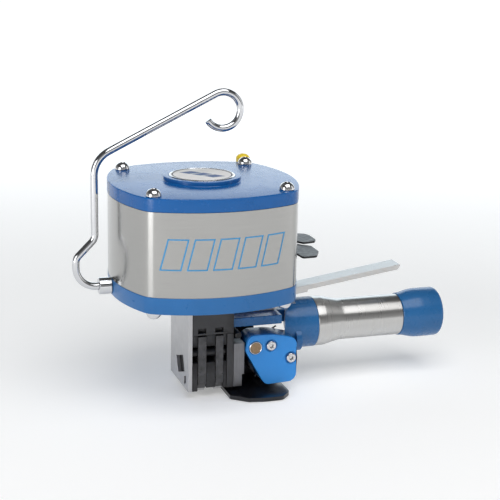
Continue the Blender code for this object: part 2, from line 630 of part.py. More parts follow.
def make_housing():
    """Blue casting: gear case behind the cover, worm tunnel, and the barrel that holds the motor handle."""
    housing = prism("gear_housing", cover_outline(0.01), "Y", *HOUSING_Y, "casting_blue")
    barrel_low, barrel_high = BARREL_X
    motor = (0, MOTOR_Z)
    barrel = rod("barrel", "X", motor, BARREL_R, barrel_low, barrel_high, steps=48)
    worm_axis = (WORM_Y, WORM_Z)
    case_x = (TRANSFER_X[0] - 0.7, barrel_low + 1)
    gear_x = (TRANSFER_X[0] - GAP, TRANSFER_X[1] + GAP)
    gear_bore_r = GEAR_MODULE * (TRANSFER_TEETH / 2 + 0.8) + 0.4
    join(housing,
         rod("transfer_case", "X", worm_axis, gear_bore_r + 0.9, *case_x, steps=28),
         rod("pinion_case", "X", motor, gear_bore_r + 1.0, case_x[0] + 0.05, case_x[1] - 0.2, steps=28),
         make_shroud(), barrel)
    cut(housing,
        rod("motor_bore", "X", motor, MOTOR_BORE_R, barrel_low + 6.8, barrel_high + 2, steps=28),
        rod("shaft_bore", "X", motor, SHAFT_BORE_R, gear_x[0] + 1, barrel_high, steps=16),
        rod("pinion_bore", "X", motor, gear_bore_r, *gear_x, steps=28),
        rod("transfer_bore", "X", worm_axis, gear_bore_r, gear_x[0] + 0.02, gear_x[1] - 0.02, steps=28),
        rod("worm_bore", "X", worm_axis, WORM_BORE_R, *WORM_BORE_X, steps=16),
        rod("worm_neck", "X", worm_axis, 4.0, WORM_BORE_X[1] - 1, gear_x[0] + 1, steps=16),
        rod("wheel_case", "Y", WHEEL, WORM_WHEEL_CASE_R, HOUSING_Y[0] - 5, HOUSING_Y[1] - 1.2, steps=28),
        rod("bearing_seat", "Y", WHEEL, BEARING_R + GAP, HOUSING_Y[0] - 5, HOUSING_Y[1] + 5, steps=24),
        rod("housing_pin_hole", "Y", PIVOT, PIN_R + GAP, HOUSING_Y[0] - 5, HOUSING_Y[1] + 5, steps=28))
    bearing = ring("wheel_bearing", "Y", WHEEL, WHEEL_SHAFT_R + GAP, BEARING_R, -12.9, -10.2, "bright_steel",
                   steps=24)
    cover = prism("cover_plate", cover_outline(), "Y", *COVER_Y, "cover_blue")
    cut(cover, rod("cover_pin_hole", "Y", PIVOT, PIN_R + GAP, -45, -30, steps=28))
    pieces = [housing, cover, bearing]
    for index, centre in enumerate(COVER_SCREWS):
        cut(cover, rod("counterbore_%d" % (index + 1), "Y", centre, 6.0, -40, -35.2, steps=20),
            rod("cover_hole_%d" % (index + 1), "Y", centre, 2.5 + GAP, -40, -30, steps=12))
        cut(housing, rod("housing_tap_%d" % (index + 1), "Y", centre, 2.5 + GAP, -40, -22, steps=12))
        pieces.append(turned("cover_screw_%d" % (index + 1),
                             [(-23, 0), (-23, 2.5), (-35.5, 2.5), (-35.5, 4.6), (-38.6, 4.6), (-39.0, 4.2),
                              (-39.0, 2.2), (-37.0, 2.2), (-37.0, 0)], "Y", centre, "bright_steel", steps=12))
    return pieces


def make_handle():
    """Satin grip tube with a flared mouth, its blue end cap and the motor's cylinder inside it."""
    axis = (0, MOTOR_Z)
    mouth = BARREL_X[1] + GAP
    low, high = CAP_X
    shell = [(mouth, 22.5), (mouth, 24.6), (mouth + 0.6, 25.0), (75.5, 25.0), (92.5, 21.1), (96.0, 20.9),
             (low - GAP, 20.9), (low - GAP, 18.9), (low + 13, 18.9), (low + 13, 17.9), (84.0, 17.9)]
    tube = turned("handle_tube", shell, "X", axis, "satin_aluminium", steps=32)
    cap = turned("end_cap", [(low, 19.2), (low, 21.3), (low + 0.7, 21.7), (low + 6, 22.3),
                             (low + 12, CAP_R - 1.4),
                             (low + 17, CAP_R - 0.3), (low + 23, CAP_R), (high - 7, CAP_R - 0.1),
                             (high - 3.6, CAP_R - 1.1), (high - 1.6, CAP_R - 3.6), (high - 0.7, 17.0),
                             (high - 0.1, 9.0), (high, 0), (low + 15, 0), (low + 15, 19.2)],
                 "X", axis, "casting_blue", steps=32)
    liner = ring("motor_cylinder", "X", axis, 14.3, 17.6, 94, 152, "bright_steel", steps=24)
    return [tube, cap, liner]


def make_drive():
    """Rotor and pinion, worm shaft with its transfer gear, worm wheel on its shaft, and the tension wheel."""
    motor = (0, MOTOR_Z)
    rotor = rod("rotor", "X", motor, 13.4, 97, 149, "bright_steel", steps=24, chamfer=0.5)
    pinion = gear_outline(motor, PINION_TEETH, GEAR_MODULE,
                          math.degrees(math.atan2(WORM_Z - MOTOR_Z, WORM_Y)))
    join(rotor, rod("motor_shaft", "X", motor, 4.0, TRANSFER_X[0] + 1, 98, steps=12),
         prism("motor_pinion", pinion, "X", *TRANSFER_X))
    hang_on("rotor_spin_axis", (97, *motor), [rotor])

    worm_axis = (WORM_Y, WORM_Z)
    ridges = []
    for turn in range(5):
        start = 8.0 + turn * 3.2
        ridges += [(start, 3.6), (start + 0.7, 5.1), (start + 1.6, 5.1), (start + 2.3, 3.6)]
    shaft = [(3.2, 0), (3.2, 3.0)] + ridges + [(28.0, 3.6), (TRANSFER_X[0] + 1, 3.6), (TRANSFER_X[0] + 1, 0)]
    worm = turned("worm_shaft", shaft, "X", worm_axis, "bright_steel", steps=12)
    towards_motor = math.degrees(math.atan2(MOTOR_Z - WORM_Z, -WORM_Y))
    transfer = gear_outline(worm_axis, TRANSFER_TEETH, GEAR_MODULE, towards_motor + 180 / TRANSFER_TEETH)
    join(worm, prism("transfer_gear", transfer, "X", *TRANSFER_X))
    hang_on("worm_spin_axis", (3.2, *worm_axis), [worm])

    worm_wheel = rod("wheel_gear", "Y", WHEEL, WHEEL_SHAFT_R, -29, 11, "bright_steel", steps=20, chamfer=0.4)
    join(worm_wheel, prism("worm_teeth", gear_outline(WHEEL, WORM_WHEEL_TEETH, 1.42, 0), "Y", -21, -13.6))
    outline = []
    knurls = 30
    for index in range(2 * knurls):
        radius = WHEEL_R if index % 2 else WHEEL_R - 0.9
        angle = math.pi * index / knurls
        outline.append((WHEEL[0] + radius * math.cos(angle), WHEEL[1] + radius * math.sin(angle)))
    wheel = prism("tension_wheel", outline, "Y", *WHEEL_Y, "ground_steel", smooth=False)
    cut(wheel, rod("wheel_bore", "Y", WHEEL, WHEEL_SHAFT_R + GAP, -15, 15, steps=20))
    hang_on("wheel_spin_axis", (WHEEL[0], 0, WHEEL[1]), [worm_wheel, wheel])


def make_spring():
    """Torsion spring round the rocker pin, one leg under the beam and one on the gear housing's side."""
    coil_r = 7.6
    turns = 3
    low, high = -9.0, 9.0
    points = [(24.5, -10.6, 60.0), (10.5, low - 0.6, 52.5)]
    steps = 10
    for i in range(turns * steps + 1):
        angle = 2 * math.pi * i / steps
        points.append((PIVOT[0] + coil_r * math.sin(angle), low + (high - low) * i / (turns * steps),
                       PIVOT[1] + coil_r * math.cos(angle)))
    points += [(6.0, high + 0.4, 64.0)]
    curve = bpy.data.curves.new("rocker_spring", "CURVE")
    curve.dimensions = "3D"
    curve.bevel_depth = 0.8 * MM
    curve.bevel_resolution = 1
    curve.use_fill_caps = True
    spline = curve.splines.new("POLY")
    spline.points.add(len(points) - 1)
    for target, point in zip(spline.points, points):
        target.co = (*(c * MM for c in point), 1)
    spring = bpy.data.objects.new("rocker_spring", curve)
    bpy.context.collection.objects.link(spring)
    give_material(spring, "black_oxide")
    return spring


def make_inlet():
    """Upright inlet body on the drum's rear corner, its hose nipple and the yellow vent button on top."""
    low, high = 118.0, 203.0
    body = rod("inlet_body", "Z", INLET, INLET_R, low, high, "satin_aluminium", steps=28, chamfer=1.0)
    web = [(8.0, 75.5), (14.0, 71.5), (27.0, 80.0), (19.0, 90.0)]
    join(body, prism("inlet_web", web, "Z", 130, 190))
    keep_out = drum_outline(-GAP)
    cut(body, stacked("drum_clearance", [(90, keep_out), (220, keep_out)]),
        rod("button_well", "Z", INLET, 4.0 + GAP, high - 14, high + 5, steps=16),
        rod("nipple_socket", "Y", (INLET[0], 135.0), 6.0 + GAP, INLET[1] + 4, 110, steps=16))
    turned("inlet_nipple", [(INLET[1] + 4 + GAP, 3.2), (INLET[1] + 4 + GAP, 6.0), (101.0, 6.0), (101.0, 8.6),
                            (106.0, 8.6), (106.0, 6.2), (109.0, 6.9), (112.0, 5.8), (115.0, 6.7),
                            (118.0, 5.6), (121.0, 6.4), (126.0, 5.2), (126.0, 3.2)], "Y", (INLET[0], 135.0), "bright_steel",
           steps=16)
    top = high + BUTTON_TRAVEL + 0.5
    profile = [(high - 9, 0), (high - 9, 4.0), (top, 4.0), (top, BUTTON_R)]
    profile += [(top + 3.5 + 6.0 * math.sin(math.radians(a)), BUTTON_R * math.cos(math.radians(a)))
                for a in (0, 22, 44, 64)]
    button = turned("vent_button", profile + [(top + 9.5, 0)], "Z", INLET, "yellow_plastic", steps=20)
    hang_on("vent_button_axis", (*INLET, high), [button])


def build():
    clear_scene()
    make_caps()
    make_cylinder()
    make_badge()
    make_tie_screws()
    make_piston()
    make_hook()
    make_valves()
    make_inlet()
    make_notcher()
    make_foot()
    make_frame()
    make_lever()
    rocker = make_housing() + make_handle()
    make_drive()
    make_spring()
    hang_on("rocker_lift_axis", (PIVOT[0], 0, PIVOT[1]), rocker)


build()
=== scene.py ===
"""Looks of a pneumatic combination tool for steel strap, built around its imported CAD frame."""

import json
import math

import bmesh
import bpy
from mathutils import Matrix, Vector

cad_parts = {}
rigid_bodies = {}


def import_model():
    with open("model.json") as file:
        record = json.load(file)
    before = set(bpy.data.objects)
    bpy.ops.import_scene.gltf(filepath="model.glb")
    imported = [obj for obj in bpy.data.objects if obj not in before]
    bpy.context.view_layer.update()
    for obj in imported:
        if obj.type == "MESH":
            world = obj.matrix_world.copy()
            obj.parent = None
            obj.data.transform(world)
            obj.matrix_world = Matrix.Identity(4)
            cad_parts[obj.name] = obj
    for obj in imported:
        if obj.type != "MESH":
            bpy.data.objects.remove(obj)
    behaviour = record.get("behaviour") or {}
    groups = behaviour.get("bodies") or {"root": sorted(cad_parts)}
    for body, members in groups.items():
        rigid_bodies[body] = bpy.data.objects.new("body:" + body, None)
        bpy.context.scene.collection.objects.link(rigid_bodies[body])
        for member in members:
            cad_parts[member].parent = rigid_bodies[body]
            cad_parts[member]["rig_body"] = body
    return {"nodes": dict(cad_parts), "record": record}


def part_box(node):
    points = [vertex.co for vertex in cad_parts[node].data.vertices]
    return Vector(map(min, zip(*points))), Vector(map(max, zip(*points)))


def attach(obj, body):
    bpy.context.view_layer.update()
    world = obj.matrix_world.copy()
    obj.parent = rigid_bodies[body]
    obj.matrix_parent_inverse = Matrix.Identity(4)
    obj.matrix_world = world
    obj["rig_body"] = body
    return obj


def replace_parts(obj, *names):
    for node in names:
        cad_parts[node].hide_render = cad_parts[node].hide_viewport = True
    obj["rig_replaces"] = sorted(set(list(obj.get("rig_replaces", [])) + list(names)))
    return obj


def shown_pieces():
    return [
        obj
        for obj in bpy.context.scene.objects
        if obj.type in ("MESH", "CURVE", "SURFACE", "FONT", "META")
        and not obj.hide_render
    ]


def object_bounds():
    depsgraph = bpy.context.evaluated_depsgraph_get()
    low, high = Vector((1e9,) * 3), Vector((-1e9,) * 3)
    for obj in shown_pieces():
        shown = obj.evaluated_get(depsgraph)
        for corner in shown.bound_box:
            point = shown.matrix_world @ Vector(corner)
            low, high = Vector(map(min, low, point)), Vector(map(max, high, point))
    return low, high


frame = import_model()
cad_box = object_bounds()
MM = 0.001
MICRON = 0.000001


# ---- places taken from the frame -----------------------------------------------------------------
def centre_of(node):
    low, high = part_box(node)
    return (low + high) / 2


def half_size(node):
    low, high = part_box(node)
    return (high - low) / 2


DRUM = centre_of("upper_cap")
DRUM_HALF = half_size("upper_cap").x
DRUM_SIDE_R = 145 * MM          # the drum's sides bulge on this radius
DRUM_CORNER_R = 21 * MM
BOSS_R = 37 * MM
BOSS_H = 4.2 * MM
SPIGOT = 4 * MM                 # depth of a cap's hidden register
MOTOR_Z = centre_of("end_cap").z
HOOK_WIRE_R = half_size("hook_wire").y
SLEEVE_SKIN = 0.25 * MM         # how far the sleeve lies inside the caps' outline


# ---- shapes --------------------------------------------------------------------------------------
SHARP_ANGLE = math.radians(32)  # an edge that turns further than this is shaded as a corner


def add_mesh(name, points, faces):
    """A smooth-shaded object whose normals all point outwards."""
    builder = bmesh.new()
    verts = [builder.verts.new(p) for p in points]
    for face in faces:
        builder.faces.new([verts[i] for i in face])
    bmesh.ops.recalc_face_normals(builder, faces=builder.faces)
    mesh = bpy.data.meshes.new(name)
    builder.to_mesh(mesh)
    builder.free()
    mesh.shade_smooth()
    mesh.set_sharp_from_angle(angle=SHARP_ANGLE)
    item = bpy.data.objects.new(name, mesh)
    bpy.context.scene.collection.objects.link(item)
    return item


def loft(name, sections, closed=False):
    """Skins a list of point loops of one length: capped at both ends, or joined end to start."""
    count = len(sections[0])
    points = [p for section in sections for p in section]
    faces = [] if closed else [list(range(count)), list(range(len(points) - count, len(points)))]
    order = list(range(len(sections)))
    pairs = zip(order, order[1:] + order[:1]) if closed else zip(order, order[1:])
    for a, b in pairs:
        for i in range(count):
            j = (i + 1) % count
            faces.append([a * count + i, a * count + j, b * count + j, b * count + i])
    return add_mesh(name, points, faces)


def lathe(name, profile, axis, centre, steps=96, closed=False):
    """Turns (along, radius) points about an axis; a third value is a number of flat sides, 6 for a socket."""
    sections = []
    for along, radius, *sides in profile:
        section = []
        for step in range(steps):
            angle = 2 * math.pi * step / steps
            r = radius
            if sides:
                wedge = 2 * math.pi / sides[0]
                r = radius / math.cos(angle % wedge - wedge / 2)
            u, v = r * math.cos(angle), r * math.sin(angle)
            section.append({"X": Vector((along, centre[1] + u, centre[2] + v)),
                            "Y": Vector((centre[0] + u, along, centre[2] + v)),
                            "Z": Vector((centre[0] + u, centre[1] + v, along))}[axis])
        sections.append(section)
    return loft(name, sections, closed)


def arc(centre, radius, start, end, steps):
    """Points on a circle from one bearing to another, in degrees."""
    points = []
    for step in range(steps + 1):
        angle = math.radians(start + (end - start) * step / steps)
        points.append((centre[0] + radius * math.cos(angle), centre[1] + radius * math.sin(angle)))
    return points


def filleted(corners, steps):
    """An open path of (u, v, radius) corners, each rounded on its radius."""
    path = [corners[0][:2]]
    for before, here, after in zip(corners, corners[1:], corners[2:]):
        middle = Vector(here[:2])
        a = (Vector(before[:2]) - middle).normalized()
        b = (Vector(after[:2]) - middle).normalized()
        half = a.angle(b) / 2
        centre = middle + (a + b).normalized() * here[2] / math.sin(half)
        start = middle + a * here[2] / math.tan(half) - centre
        sweep = start.angle_signed(middle + b * here[2] / math.tan(half) - centre)
        for step in range(steps + 1):
            turn = -sweep * step / steps
            path.append((centre.x + start.x * math.cos(turn) - start.y * math.sin(turn),
                         centre.y + start.x * math.sin(turn) + start.y * math.cos(turn)))
    return path + [corners[-1][:2]]


def drum_loop(inset, z, side_steps=28, corner_steps=12):
    """The drum's bulged square at one height: eight tangent arcs, drawn in by inset."""
    side_r = DRUM_SIDE_R - inset
    corner_r = DRUM_CORNER_R - inset
    offset = DRUM_SIDE_R - DRUM_HALF
    corner = (-offset + math.sqrt(2 * (side_r - corner_r) ** 2 - offset ** 2)) / 2
    spread = math.degrees(math.atan2(corner, corner + offset))
    quarter = arc((-offset, 0), side_r, -spread, spread, side_steps)
    quarter += arc((corner, corner), corner_r, spread, 90 - spread, corner_steps)[1:-1]
    loop = []
    for c, s in ((1, 0), (0, 1), (-1, 0), (0, -1)):
        loop += [Vector((DRUM.x + u * c - v * s, DRUM.y + u * s + v * c, z)) for u, v in quarter]
    return loop


def round_loop(radius, z):
    """A circle whose points stand at the same bearings as the drum outline's."""
    loop = []
    for point in drum_loop(0, z):
        away = Vector((point.x - DRUM.x, point.y - DRUM.y)).normalized() * radius
        loop.append(Vector((DRUM.x + away.x, DRUM.y + away.y, z)))
    return loop


def edge_loops(z, direction, radius, steps=4):
    """Insets and heights of a rounded edge that ends at height z; direction is 1 upwards."""
    loops = []
    for step in range(steps + 1):
        angle = math.pi / 2 * step / steps
        loops.append((radius * (1 - math.cos(angle)), z - direction * radius * (1 - math.sin(angle))))
    return loops


# ---- finishes ------------------------------------------------------------------------------------
class Finish:
    """A Principled material with helpers for the noise that drives its colour, gloss and relief."""

    def __init__(self, name, colour, roughness, metallic=0.0):
        self.material = bpy.data.materials.new(name)
        self.material.use_nodes = True
        self.nodes = self.material.node_tree.nodes
        self.links = self.material.node_tree.links
        self.shader = self.nodes["Principled BSDF"]
        self.colour = colour
        self.shader.inputs["Metallic"].default_value = metallic
        self.shader.inputs["Roughness"].default_value = roughness
        self.shader.inputs["Base Color"].default_value = (*colour, 1)
        self.coords = self.nodes.new("ShaderNodeTexCoord")

    def set(self, **sockets):
        for name, value in sockets.items():
            self.shader.inputs[name.replace("_", " ")].default_value = value
        return self

    def noise(self, stretch, detail=3.0, rough=0.55):
        """Noise whose grain is `stretch` cycles per metre along X, Y and Z."""
        mapping = self.nodes.new("ShaderNodeMapping")
        mapping.inputs["Scale"].default_value = stretch
        texture = self.nodes.new("ShaderNodeTexNoise")
        texture.inputs["Scale"].default_value = 1.0
        texture.inputs["Detail"].default_value = detail
        texture.inputs["Roughness"].default_value = rough
        self.links.new(self.coords.outputs["Object"], mapping.inputs["Vector"])
        self.links.new(mapping.outputs["Vector"], texture.inputs["Vector"])
        return texture.outputs["Fac"]

    def ramp(self, value, low, high, dark, light):
        ramp = self.nodes.new("ShaderNodeValToRGB")
        ramp.color_ramp.elements[0].position = low
        ramp.color_ramp.elements[0].color = (*dark, 1)
        ramp.color_ramp.elements[1].position = high
        ramp.color_ramp.elements[1].color = (*light, 1)
        self.links.new(value, ramp.inputs["Fac"])
        return ramp.outputs["Color"]

    def tint(self, value, amount):
        """Colour wanders by `amount` of itself either way with the given noise."""
        dark = tuple(c * (1 - amount) for c in self.colour)
        light = tuple(min(c * (1 + amount), 1) for c in self.colour)
        self.paint(self.ramp(value, 0.3, 0.7, dark, light))
        return self

    def paint(self, colour):
        self.links.new(colour, self.shader.inputs["Base Color"])
        return self

    def gloss(self, value, low, high):
        reach = self.nodes.new("ShaderNodeMapRange")
        reach.inputs["From Min"].default_value = 0.3
        reach.inputs["From Max"].default_value = 0.7
        reach.inputs["To Min"].default_value = low
        reach.inputs["To Max"].default_value = high
        self.links.new(value, reach.inputs["Value"])
        self.links.new(reach.outputs["Result"], self.shader.inputs["Roughness"])
        return self

    def relief(self, value, depth, strength=1.0):
        bump = self.nodes.new("ShaderNodeBump")
        bump.inputs["Distance"].default_value = depth
        bump.inputs["Strength"].default_value = strength
        self.links.new(value, bump.inputs["Height"])
        self.links.new(bump.outputs["Normal"], self.shader.inputs["Normal"])
        return self

    def grain_round(self, axis, amount):
        """Spreads highlights across a grain that runs round the given axis, a quarter turn from it."""
        tangent = self.nodes.new("ShaderNodeTangent")
        tangent.direction_type = "RADIAL"
        tangent.axis = axis
        self.links.new(tangent.outputs["Tangent"], self.shader.inputs["Tangent"])
        self.shader.inputs["Anisotropic"].default_value = amount
        self.shader.inputs["Anisotropic Rotation"].default_value = 0.25
        return self

    def math(self, operation, *values):
        node = self.nodes.new("ShaderNodeMath")
        node.operation = operation
        for socket, value in zip(node.inputs, values):
            if isinstance(value, (int, float)):
                socket.default_value = value
            else:
                self.links.new(value, socket)
        return node.outputs[0]

    def mix(self, mask, under, over):
        node = self.nodes.new("ShaderNodeMix")
        node.data_type = "RGBA"
        sockets = [s for s in node.inputs if s.enabled]
        for socket, value in zip(sockets, (mask, under, over)):
            if isinstance(value, tuple):
                socket.default_value = (*value, 1)
            else:
                self.links.new(value, socket)
        return next(s for s in node.outputs if s.enabled)


def painted(name, colour, roughness, coat):
    """Smooth sprayed enamel: a slow drift in shade and a clear gloss over it."""
    f = Finish(name, colour, roughness)
    f.tint(f.noise((28, 28, 28), 4.0), 0.05)
    f.gloss(f.noise((120, 120, 120), 5.0), roughness * 0.9, roughness * 1.1)
    return f.set(Coat_Weight=coat, Coat_Roughness=0.12, Specular_IOR_Level=0.3).material


def brushed_sheet():
    """Stainless sheet with a fine grain that runs level round the drum."""
    f = Finish("brushed_stainless", (0.42, 0.418, 0.408), 0.3, 1.0)
    grain = f.noise((22, 22, 3200), 4.0, 0.7)
    f.tint(grain, 0.05)
    f.gloss(f.noise((35, 35, 1400), 3.0), 0.21, 0.25)
    f.relief(grain, 0.3 * MICRON, 0.5)
    return f.grain_round("Z", 0.75).material


def brushed_strip():
    """Stainless strip brushed along its length."""
    f = Finish("brushed_strip", (0.56, 0.552, 0.545), 0.3, 0.95)
    grain = f.noise((60, 2600, 900), 4.0, 0.7)
    f.tint(grain, 0.07)
    f.gloss(f.noise((90, 700, 500), 3.0), 0.26, 0.4)
    return f.relief(grain, 1.5 * MICRON, 0.5).material


def turned_aluminium():
    """Satin tube with the close rings that a turning tool leaves."""
    f = Finish("turned_aluminium", (0.56, 0.555, 0.545), 0.3, 1.0)
    rings = f.noise((2400, 25, 25), 3.0, 0.7)
    f.tint(rings, 0.03)
    f.gloss(f.noise((900, 30, 30), 3.0), 0.27, 0.3)
    f.relief(rings, 0.3 * MICRON, 0.5)
    return f.grain_round("X", 0.6).material


def chrome():
    """Mirror plating with faint ripples."""
    f = Finish("chrome", (0.62, 0.63, 0.65), 0.06, 1.0)
    f.tint(f.noise((60, 60, 60), 3.0), 0.04)
    f.gloss(f.noise((200, 200, 200), 4.0), 0.04, 0.1)
    return f.relief(f.noise((200, 200, 200), 1.0), MICRON, 0.2).material


def bright_steel():
    """Zinc-bright screw heads and rims, slightly satin."""
    f = Finish("bright_steel", (0.66, 0.66, 0.67), 0.14, 1.0)
    f.tint(f.noise((300, 300, 300), 3.0), 0.08)
    f.gloss(f.noise((800, 800, 800), 4.0), 0.09, 0.2)
    return f.relief(f.noise((1500, 1500, 1500), 2.0), 1.5 * MICRON, 0.5).material


def ground_steel():
    """Tool steel with upright grinding marks and patches of duller oil film."""
    f = Finish("ground_steel", (0.20, 0.20, 0.21), 0.38, 1.0)
    marks = f.noise((2200, 2200, 60), 4.0, 0.7)
    f.tint(marks, 0.14)
    f.gloss(f.noise((90, 90, 90), 4.0), 0.3, 0.5)
    return f.relief(marks, 3 * MICRON, 0.5).material


def black_oxide(name="black_oxide", level=0.02, roughness=0.36):
    """Chemical black over milled steel, rubbed paler along its edges."""
    f = Finish(name, (level, level, level * 1.05), roughness, 0.6)
    f.set(Specular_IOR_Level=0.3)
    patch = f.noise((140, 140, 140), 5.0)
    body = f.ramp(patch, 0.3, 0.7, (level * 0.7,) * 3, (level * 1.35, level * 1.35, level * 1.42))
    shape = f.nodes.new("ShaderNodeNewGeometry")
    edge = f.ramp(shape.outputs["Pointiness"], 0.52, 0.6, (0, 0, 0), (0.55, 0.55, 0.55))
    f.paint(f.mix(edge, body, (0.09, 0.09, 0.095)))
    f.gloss(f.noise((260, 260, 260), 4.0), roughness * 0.8, roughness * 1.25)
    return f.relief(f.noise((1800, 1800, 260), 3.0), 4 * MICRON, 0.6).material


def jaw_steel():
    """Black jaws whose working tips are ground bright."""
    f = Finish("jaw_black", (0.07, 0.07, 0.072), 0.32, 0.7)
    place = f.nodes.new("ShaderNodeSeparateXYZ")
    f.links.new(f.coords.outputs["Object"], place.inputs[0])
    patch = f.noise((160, 160, 160), 5.0)
    body = f.ramp(patch, 0.3, 0.7, (0.05, 0.05, 0.052), (0.095, 0.095, 0.1))
    tip_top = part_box("jaw_front_left")[0].z + 4 * MM
    ragged = f.math("ADD", place.outputs["Z"], f.math("MULTIPLY", patch, 2 * MM))
    tip = f.math("LESS_THAN", ragged, tip_top)
    f.paint(f.mix(tip, body, (0.42, 0.42, 0.43)))
    f.gloss(f.noise((260, 260, 260), 4.0), 0.26, 0.4)
    return f.material


def bronze():
    """Dull bearing bronze with a mottled surface."""
    f = Finish("bronze", (0.30, 0.21, 0.13), 0.42, 1.0)
    f.tint(f.noise((700, 700, 700), 4.0), 0.18)
    return f.relief(f.noise((1600, 1600, 1600), 3.0), 5 * MICRON, 0.6).material


def rubber():
    """Matt black seal with a fine texture."""
    f = Finish("seal_rubber", (0.02, 0.02, 0.02), 0.7)
    f.tint(f.noise((400, 400, 400)), 0.2)
    return f.relief(f.noise((2500, 2500, 2500)), 30 * MICRON).material


def yellow_plastic():
    """Moulded knob with a light gloss."""
    f = Finish("yellow_plastic", (0.85, 0.62, 0.04), 0.3)
    f.tint(f.noise((150, 150, 150)), 0.06)
    f.relief(f.noise((1500, 1500, 1500)), 2 * MICRON, 0.5)
    return f.set(Coat_Weight=0.3).material


def badge_enamel():
    """Cream field inside a thin dark ring, crossed by a plain blue band in three parts as a generic mark."""
    f = Finish("badge_enamel", (0.72, 0.69, 0.67), 0.45)
    place = f.nodes.new("ShaderNodeSeparateXYZ")
    f.links.new(f.coords.outputs["Object"], place.inputs[0])
    x = f.math("SUBTRACT", place.outputs["X"], DRUM.x)
    y = f.math("SUBTRACT", place.outputs["Y"], DRUM.y)
    r = f.math("SQRT", f.math("ADD", f.math("MULTIPLY", x, x), f.math("MULTIPLY", y, y)))
    ring_r, ring_half = 28.3 * MM, 0.6 * MM
    ring = f.math("LESS_THAN", f.math("ABSOLUTE", f.math("SUBTRACT", r, ring_r)), ring_half)
    turn = math.radians(-50)
    half_width, half_length, lean = 6.2 * MM, 19.5 * MM, -0.45
    gap_at, gap_half = 6.6 * MM, 1.0 * MM
    u = f.math("ADD", f.math("MULTIPLY", x, math.cos(turn)), f.math("MULTIPLY", y, math.sin(turn)))
    v = f.math("ADD", f.math("MULTIPLY", x, -math.sin(turn)), f.math("MULTIPLY", y, math.cos(turn)))
    across = f.math("LESS_THAN", f.math("ABSOLUTE", v), half_width)
    slanted = f.math("ABSOLUTE", f.math("ADD", u, f.math("MULTIPLY", v, lean)))
    along = f.math("LESS_THAN", slanted, half_length)
    part = f.math("GREATER_THAN", f.math("ABSOLUTE", f.math("SUBTRACT", slanted, gap_at)), gap_half)
    band = f.math("MULTIPLY", f.math("MULTIPLY", across, along), part)
    field = f.ramp(f.noise((60, 60, 60), 4.0), 0.3, 0.7, (0.68, 0.655, 0.64), (0.8, 0.775, 0.76))
    with_band = f.mix(band, field, (0.02, 0.07, 0.22))
    f.paint(f.mix(ring, with_band, (0.02, 0.025, 0.035)))
    f.relief(f.noise((1200, 1200, 1200)), MICRON, 0.5)
    return f.set(Specular_IOR_Level=0.15).material


def side_steel():
    """Ground side plate, paler than the rest of the tool steel."""
    f = Finish("side_plate_steel", (0.51, 0.51, 0.52), 0.36, 0.9)
    marks = f.noise((2200, 2200, 60), 4.0, 0.7)
    f.tint(marks, 0.1)
    f.gloss(f.noise((90, 90, 90), 4.0), 0.3, 0.46)
    return f.relief(marks, 3 * MICRON, 0.5).material


def print_ink():
    """Screen-printed blue line, slightly uneven."""
    f = Finish("print_ink", (0.045, 0.26, 0.52), 0.4)
    f.tint(f.noise((900, 900, 900), 3.0), 0.12)
    return f.material


FINISHES = {
    "cap_blue": painted("cap_blue", (0.004, 0.098, 0.33), 0.26, 0.1),
    "casting_blue": painted("casting_blue", (0.020, 0.125, 0.32), 0.28, 0.2),
    # painted light: the cover is the same blue paint as the casting above, given a lighter copy for a face
    # that catches the light
    "cover_blue": painted("cover_blue", (0.030, 0.26, 0.70), 0.36, 0.15),
    "stainless": brushed_sheet(),
    "satin_aluminium": turned_aluminium(),
    "chrome": chrome(),
    "bright_steel": bright_steel(),
    "ground_steel": ground_steel(),
    "black_oxide": black_oxide(),
    "bronze": bronze(),
    "badge_cream": badge_enamel(),
    "seal_rubber": rubber(),
    "yellow_plastic": yellow_plastic(),
}
PRINT_BLUE = print_ink()
JAW_BLACK = jaw_steel()
# painted shade: the spacers sit in the gaps between the jaws and get a darker copy of the black oxide, so
# that the gaps read as shaded
GAP_SHADE_BLACK = black_oxide("painted_gap_shade", 0.008, 0.5)
SPECIAL = {
    "lower_cap": painted("lower_cap_blue", (0.018, 0.135, 0.37), 0.3, 0.15),
    "guide_pin": FINISHES["black_oxide"],
    "spacer_left": GAP_SHADE_BLACK,
    "spacer_centre": GAP_SHADE_BLACK,
    "spacer_right": GAP_SHADE_BLACK,
    "jaw_front_left": JAW_BLACK,
    "jaw_front_right": JAW_BLACK,
    "jaw_rear_left": JAW_BLACK,
    "jaw_rear_right": JAW_BLACK,
    "rocker_lever": brushed_strip(),
    "left_side_plate": side_steel(),
    "foot_plate": painted("foot_black", (0.008, 0.009, 0.012), 0.22, 0.3),
    "jaw_pin_front": FINISHES["black_oxide"],
    "jaw_pin_rear": FINISHES["black_oxide"],
}
SLOTS = {part["node"]: part["material_slot"] for part in frame["record"]["subparts"]}


def dress(item, node, extra=False):
    """Gives a piece its CAD node's body, slot and finish; an extra piece hides nothing."""
    item.data.materials.clear()
    item.data.materials.append(SPECIAL.get(node, FINISHES[SLOTS[node]]))
    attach(item, frame["nodes"][node]["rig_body"])
    if not extra:
        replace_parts(item, node)
    return item


